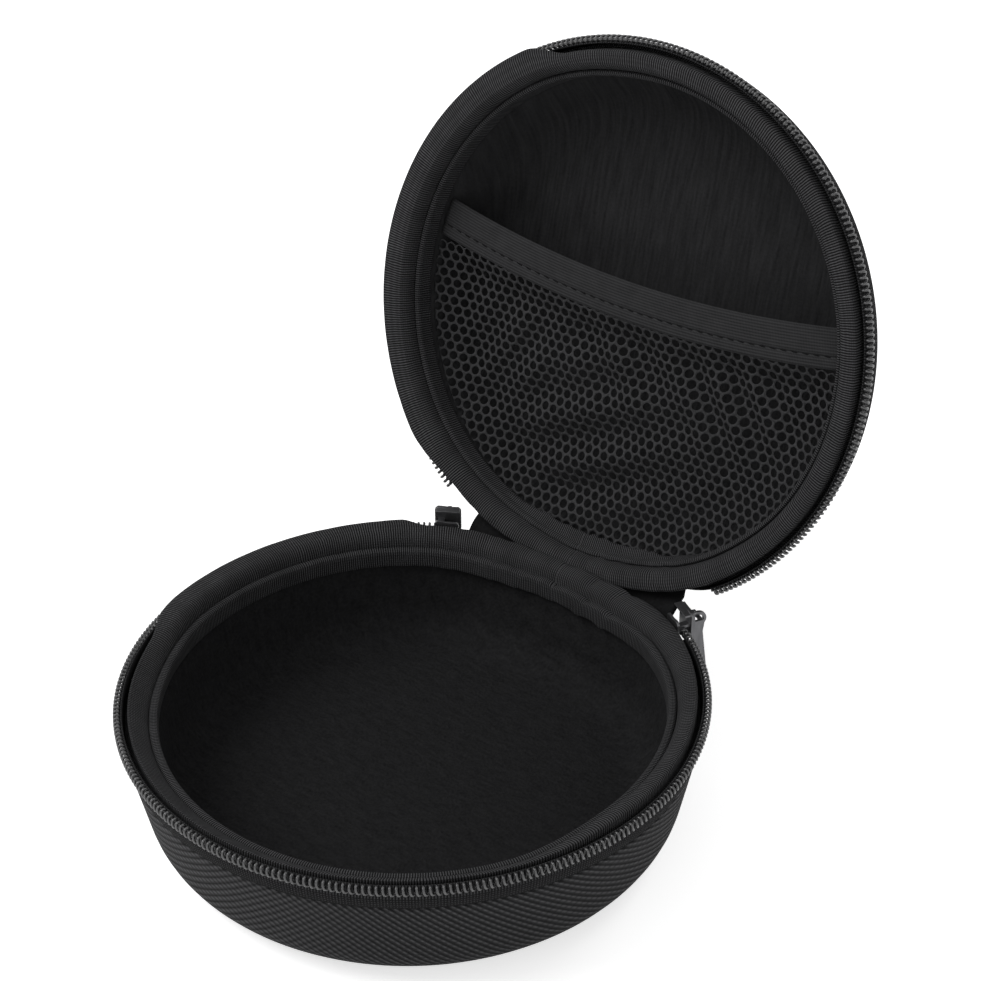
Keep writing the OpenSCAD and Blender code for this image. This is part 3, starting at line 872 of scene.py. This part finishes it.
def hinge_strip():
    """A sheet over angle and length: up the tray's wall, across to the lid in a fold that bulges
    up by a half sine, and up the lid's wall."""
    phi = np.linspace(-STRIP_HALF, STRIP_HALF, 90)[:, None]
    down_wall = np.linspace(STRIP_H, STRIP_TOP, 14)[None, :]

    def wall_side(half, off):
        x, y = outline(phi, wall(down_wall, -off, LEAN[half]), half, down_wall)
        return place(x, y, down_wall, half)

    def one_face(off):
        tray_side, lid_side = wall_side("tray", off), wall_side("lid", off)[:, ::-1]
        s = np.linspace(0, 1, 14)[None, 1:-1, None]
        gap = tray_side[:, -1:] * (1 - s) + lid_side[:, :1] * s
        rise = np.array([0, 0, STRIP_BULGE - 1.2 * off]) * np.sin(math.pi * s)
        return np.concatenate([tray_side, gap + rise, lid_side], 1)

    outer, inner = one_face(STRIP_OFF + STRIP_T), one_face(STRIP_OFF)
    distances = np.arange(len(phi) + 1) * 2 * STRIP_HALF / (len(phi) - 1) * ZIP_R
    return capped("hinge_cloth", np.concatenate([outer, inner[:, ::-1]], 1), distances)


def strip_edge(half, lean):
    """The middle of the strip's edge on one half."""
    x, y = outline(0.0, float(wall(STRIP_TOP, 0, lean)), half, STRIP_TOP)
    return place(x, y, STRIP_TOP, half)


# The strip gets the darker speckle, not the twill: painted shade, as it lies sunk between the
# rims.
hinge = dress(hinge_strip(), None, "ballistic_twill", mat_hinge_shade,
              "tray_hinge_strip", "lid_hinge_strip")
tray_edge, lid_edge = strip_edge("tray", WALL_LEAN), strip_edge("lid", DOME_LEAN)
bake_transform(hinge)
print("hinge gap", np.round((lid_edge - tray_edge) / MM, 2), "mm")

# %% [markdown]
# ## The net pocket
#
# The net is knitted with round holes in a honeycomb. Each cell is a ring of yarn between a round
# hole and a six-sided edge that it shares with its neighbours. See-through cloth would be quicker,
# but real holes keep their depth from the side. The whole sheet is then lifted into the loose
# diagonal folds that a hand leaves in it.

# %% Net
MOUTH_Y, MOUTH_SAG, MOUTH_HALF, HEM_W = -12.5 * MM, 7 * MM, 70 * MM, 12.5 * MM
MOUTH_R = (MOUTH_HALF ** 2 + MOUTH_SAG ** 2) / (2 * MOUTH_SAG)
MOUTH_CY = MOUTH_Y - MOUTH_R
NET_PITCH, HOLE_R, YARN_T, NET_H = 3.3 * MM, 1.34 * MM, 0.36 * MM, 10.0 * MM
MERGE = 0.02 * MM
NET_EDGE = float(wall(10.6 * MM, 7 * MM, DOME_LEAN)) + 0.3 * MM


def net_lift(x, y):
    """Height of the folds: sines across three slanted directions, each inside a soft patch, and
    none at the hem and the rim."""
    edge = np.clip((ZIP_R - NET_EDGE - np.hypot(x, y)) / (12 * MM), 0, 1)
    from_hem = np.clip((np.hypot(x, y - MOUTH_CY) - MOUTH_R - HEM_W) / (7 * MM), 0, 1)

    def folds(angle, length, cx, cy, size, height, phase):
        q = x * math.cos(angle) + y * math.sin(angle)
        patch = np.exp(-((x - cx) ** 2 + (y - cy) ** 2) / size ** 2)
        return height * patch * np.sin(TAU * q / length + phase)

    total = (folds(-0.62, 12 * MM, 40 * MM, 14 * MM, 20 * MM, 1.7 * MM, 0.4)
             + folds(-0.62, 17 * MM, 2 * MM, 12 * MM, 22 * MM, 1.3 * MM, 2.2)
             + folds(1.15, 16 * MM, -8 * MM, 44 * MM, 30 * MM, 1.5 * MM, 1.0)
             + folds(0.5, 13 * MM, -42 * MM, 22 * MM, 18 * MM, 0.9 * MM, 0.0))
    return edge * from_hem * (total + 3.5 * MM)


def net_cells():
    """Twelve quads a cell: points on the round hole, and on the six-sided edge at its corners and
    the middles of its sides. Points past the rim or under the hem are drawn in to them."""
    step = NET_PITCH * math.sqrt(3) / 2
    rows, cols = np.arange(0, 30), np.arange(-28, 29)
    r, c = (a.ravel() for a in np.meshgrid(rows, cols, indexing="ij"))
    cx = (c + (r % 2) / 2) * NET_PITCH
    cy = MOUTH_Y + HEM_W - 4 * MM + r * step
    reach = ZIP_R - NET_EDGE + 0.6 * NET_PITCH
    back_y, back_r = FULL_BACK["lid"]
    back_reach = back_r - NET_EDGE + 0.6 * NET_PITCH
    keep = ((np.hypot(cx, cy) < reach) & (np.hypot(cx, cy - back_y + back_r) < back_reach)
            & (np.hypot(cx, cy - MOUTH_CY) > MOUTH_R + HEM_W - 3 * MM))
    cx, cy = cx[keep][:, None], cy[keep][:, None]
    a = np.arange(12) / 12 * TAU + TAU / 12
    corner_r = NET_PITCH / math.sqrt(3)
    edge_r = np.where(np.arange(12) % 2 == 0, corner_r, NET_PITCH / 2)
    hole = np.stack([cx + HOLE_R * np.cos(a), cy + HOLE_R * np.sin(a)], -1)
    edge = np.stack([cx + edge_r * np.cos(a), cy + edge_r * np.sin(a)], -1)
    plan = np.concatenate([hole, edge], 1)
    phi = np.arctan2(plan[..., 0], plan[..., 1])
    limit = np.hypot(*outline(phi, NET_EDGE, "lid", 0))
    r = np.hypot(plan[..., 0], plan[..., 1])
    plan = plan * np.minimum(1, limit / np.maximum(r, 1e-9))[..., None]
    k = np.arange(12)
    quad = np.stack([k, (k + 1) % 12, 12 + (k + 1) % 12, 12 + k], 1)
    faces = (np.arange(len(plan)) * 24)[:, None, None] + quad
    return plan.reshape(-1, 2), faces.reshape(-1, 4)


plan, faces_net = net_cells()
lift = net_lift(plan[:, 0], plan[:, 1])
net = make_mesh("net", place(plan[:, 0], plan[:, 1], NET_H + lift, "lid"), faces_net,
                outward=False)
work = bmesh.new()
work.from_mesh(net.data)
bmesh.ops.remove_doubles(work, verts=work.verts, dist=MERGE)
bmesh.ops.dissolve_degenerate(work, edges=work.edges, dist=MERGE)
work.to_mesh(net.data)
work.free()
thick = net.modifiers.new("yarn", "SOLIDIFY")
thick.thickness, thick.offset = YARN_T, 0
dress(net, "lid", "pocket_mesh", mat_net, "pocket_net")
print("net cells", len(faces_net) // 12)

# %% [markdown]
# ## The pocket's hem
#
# A folded elastic band edges the pocket, with a seam that draws it in and a row of stitches along
# the seam. A bent box would look stiff, so the hem is a grid between its own arcs, thin at both
# edges, and the stitches are small beads of thread that lie in the dip.

# %% Hem
HEM_INSET = float(wall(11.1 * MM, 7 * MM, DOME_LEAN)) + 0.35 * MM
HEM_FRONT, HEM_T, SEAM_AT = 9.3 * MM, 1.4 * MM, 0.69
HEM_ROWS, HEM_COLUMNS, HEM_LONG = 140, 46, 144 * MM


def hem_point(across, s):
    """Plan of a point on the hem: s from its mouth edge to its lower edge, across from -1 to 1
    between the walls of the lid. Both edges are arcs about one centre, and their ends lie where
    those arcs cross the circle of the wall."""
    r = MOUTH_R + s * HEM_W
    reach = ZIP_R - HEM_INSET
    far_y = (reach ** 2 - r ** 2 + MOUTH_CY ** 2) / (2 * MOUTH_CY)
    half_x = np.sqrt(reach ** 2 - far_y ** 2)
    x = across * half_x
    return x, MOUTH_CY + np.sqrt(r ** 2 - x ** 2)


def hem_front(across, s):
    """Height of the hem's front face. It bows out most at the middle of its mouth, and dips along
    the seam by a narrow bell."""
    bow = 1.0 * MM * (1 - across ** 2) * (1 - s)
    seam = 0.45 * MM * np.exp(-((s - SEAM_AT) / 0.035) ** 2)
    return HEM_FRONT - bow + seam


def hem_mesh():
    """The front face from the mouth down, then the back face up again. Both close on a middle
    layer where the roll, a product of two quarter circles, thins the hem at its edges."""
    across = np.linspace(-1, 1, HEM_ROWS)[:, None]
    down = np.linspace(0, 1, HEM_COLUMNS)
    s = np.concatenate([down, down[::-1]])[None, :]
    behind = np.repeat([False, True], HEM_COLUMNS)[None, :]
    mouth_roll = np.sqrt(1 - (1 - np.clip(s * 10, 0, 1)) ** 2)
    lower_roll = np.sqrt(1 - (1 - np.clip((1 - s) * 14, 0, 1)) ** 2)
    x, y = hem_point(across, s)
    middle_h = hem_front(across, 0 * s) * (1 - s) + HEM_FRONT * s + HEM_T / 2
    off = np.where(behind, HEM_T / 2, hem_front(across, s) - middle_h)
    points = place(x, y, middle_h + (0.12 + 0.88 * mouth_roll * lower_roll) * off, "lid")
    return capped("hem", points, np.linspace(0, HEM_LONG, HEM_ROWS + 1))


hem = dress(hem_mesh(), "lid", "elastic_hem", mat_elastic, "pocket_hem")


# %% Stitches
STITCH_HALF, STITCH_R, STITCH_SINK, STITCH_SLANT = 1.15 * MM, 0.24 * MM, 0.1 * MM, 0.12


def stitches(name, s, count):
    """A row of short threads: each is an eight-sided bead that is long along the hem and thin
    across it, half sunk in the cloth."""
    middle = np.linspace(-0.97, 0.97, count)
    about = np.arange(8) / 8 * TAU
    lengths = np.array([-1, -0.8, 0, 0.8, 1]) * STITCH_HALF
    radii = np.array([0.03, 0.75, 1, 0.75, 0.03]) * STITCH_R
    x0, y0 = hem_point(middle, s)
    tilt = (np.arctan2(np.gradient(y0), np.gradient(x0)) + STITCH_SLANT)[:, None, None]
    dx = lengths[None, :, None]
    off = (radii[:, None] * np.cos(about))[None]
    x = x0[:, None, None] + dx * np.cos(tilt) - off * np.sin(tilt)
    y = y0[:, None, None] + dx * np.sin(tilt) + off * np.cos(tilt)
    top = hem_front(middle, s)[:, None, None] - STITCH_SINK
    h = top + (radii[:, None] * np.sin(about))[None] + 0 * x
    points = place(x, y, h, "lid").reshape(-1, 3)
    faces, _, _ = grid_faces(5, 8, False)
    starts = np.arange(count)[:, None, None] * 40
    first, last = starts[:, 0] + np.arange(8), starts[:, 0] + 39 - np.arange(8)
    every = (starts + faces).reshape(-1, 4).tolist() + first.tolist() + last.tolist()
    return make_mesh(name, points, every)


# The thread is black and darker than the hem: partly its own colour, partly painted shade of the
# needle pits.
stitch_row = dress(stitches("hem_stitches", SEAM_AT, 41), "lid", "elastic_hem", mat_thread)

# %% [markdown]
# ## Sliders, bails and pulls
#
# These are small zinc castings, plated dark. Their solids already have the right shape and only
# look too sharp, so nothing is modelled anew: a merged copy with softly rounded edges stands for
# each.

# %% Castings
def casting(solid, body, slot, edge):
    """A copy of a solid with its loose triangles merged and its edges rounded."""
    work = bmesh.new()
    work.from_mesh(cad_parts[solid].data)
    bmesh.ops.remove_doubles(work, verts=work.verts, dist=0.001 * MM)
    bmesh.ops.dissolve_limit(work, angle_limit=math.radians(4), verts=work.verts, edges=work.edges)
    mesh = bpy.data.meshes.new(solid + "_casting")
    work.to_mesh(mesh)
    work.free()
    mesh.polygons.foreach_set("use_smooth", np.ones(len(mesh.polygons), bool))
    piece = bpy.data.objects.new(solid + "_casting", mesh)
    bpy.context.scene.collection.objects.link(piece)
    bevel = piece.modifiers.new("edges", "BEVEL")
    bevel.width, bevel.segments, bevel.limit_method = edge, 2, "ANGLE"
    bevel.angle_limit = math.radians(35)
    piece.modifiers.new("normals", "WEIGHTED_NORMAL")
    return dress(piece, body, slot, mat_metal, solid)


for side in ("right", "left"):
    casting("slider_" + side, "slider_" + side, "slider_metal", 0.14 * MM)
    casting("slider_bail_" + side, "slider_" + side, "slider_metal", 0.1 * MM)
    casting("pull_" + side, "pull_" + side, "pull_metal", 0.28 * MM)

# %% [markdown]
# ## The cloth's area
#
# The covers, linings, tapes, pocket, hem and hinge were cut flat from sheet, and the foams, rims
# and bindings are padded. A moulded cloth is taken as cut round, so its width follows from its
# area. Here the area of each cover and lining is worked out, and that of the lid's tape is
# printed.

def mesh_area(piece):
    """The area of all faces together, both sides of a cloth."""
    areas = np.zeros(len(piece.data.polygons))
    piece.data.polygons.foreach_get("area", areas)
    return float(areas.sum())


def round_cut(piece):
    """The area of one side of a cloth that was cut round. Nothing is done with it."""
    area = mesh_area(piece) / 2


for half, skin, liner, foam in (("tray", cover_tray, liner_tray, foam_tray),
                                ("lid", cover_lid, liner_lid, foam_lid)):
    round_cut(skin)
    round_cut(liner)


print("tape", round(mesh_area(tapes["lid"]) / 2 * 1e4, 1), "cm2")

# %% [markdown]
# ## The floor
#
# The floor is white paper. It is lifted to plain white where it is seen directly or in a gloss,
# so it adds no light to the case and still takes its shadow.

# %% Floor
SEEN_LIFT = 0.6


def seen_directly(tree):
    """1 for rays from the camera or off a gloss, and 0 for light that lights something else."""
    path = tree.nodes.new("ShaderNodeLightPath")
    return calc(tree, "MAXIMUM", path.outputs["Is Camera Ray"], path.outputs["Is Glossy Ray"])


def paper():
    """Matt white paper with its lift."""
    material = bpy.data.materials.new("paper")
    material.use_nodes = True
    tree = material.node_tree
    shader = tree.nodes["Principled BSDF"]
    shader.inputs["Base Color"].default_value = (0.9, 0.9, 0.9, 1)
    shader.inputs["Roughness"].default_value = 0.9
    shader.inputs["Specular IOR Level"].default_value = 0.0
    lift = scaled(tree, seen_directly(tree), SEEN_LIFT)
    tree.links.new(lift, shader.inputs["Emission Strength"])
    shader.inputs["Emission Color"].default_value = (1, 1, 1, 1)
    return material


floor = make_mesh("floor", [(-3, -3, 0), (3, -3, 0), (3, 3, 0), (-3, 3, 0)],
                  [(0, 1, 2, 3)], outward=False)
floor.data.materials.append(paper())
print("floor is paper of", [round(side, 1) for side in floor.dimensions[:2]], "m")

# %% [markdown]
# ## Light
#
# Large soft lamps let black ribs and loops show without hard shadows. The key is high on the
# left, the fill low on the right, and one behind picks out the rims. The world is white, and
# dimmer as a light than as a background.

# %% Lamps and world
LIT_POINT, WORLD = np.array([0, 0.04, 0.06]), 0.4


def lamp(name, place_at, size, power):
    """A round soft lamp that is turned to the lit point."""
    data = bpy.data.lights.new(name, "AREA")
    data.shape, data.size, data.energy = "DISK", size, power
    made = bpy.data.objects.new(name, data)
    bpy.context.scene.collection.objects.link(made)
    made.location = place_at
    made.rotation_mode = "QUATERNION"
    aim = Vector(LIT_POINT - np.array(place_at))
    made.rotation_quaternion = aim.to_track_quat("-Z", "Y")
    print(name, power, "W")


lamp("key", (-1.1, -0.75, 1.5), 1.5, 25)
lamp("fill", (1.2, -0.9, 0.9), 1.2, 5)
lamp("rear", (0.3, 1.3, 1.3), 0.9, 6)

world = bpy.data.worlds.new("world")
bpy.context.scene.world = world
world.use_nodes = True
tree = world.node_tree
sky = tree.nodes["Background"]
sky.inputs["Color"].default_value = (1, 1, 1, 1)
strength = scaled(tree, seen_directly(tree), SEEN_LIFT, WORLD)
tree.links.new(strength, sky.inputs["Strength"])
bpy.context.scene.view_settings.view_transform = "Standard"
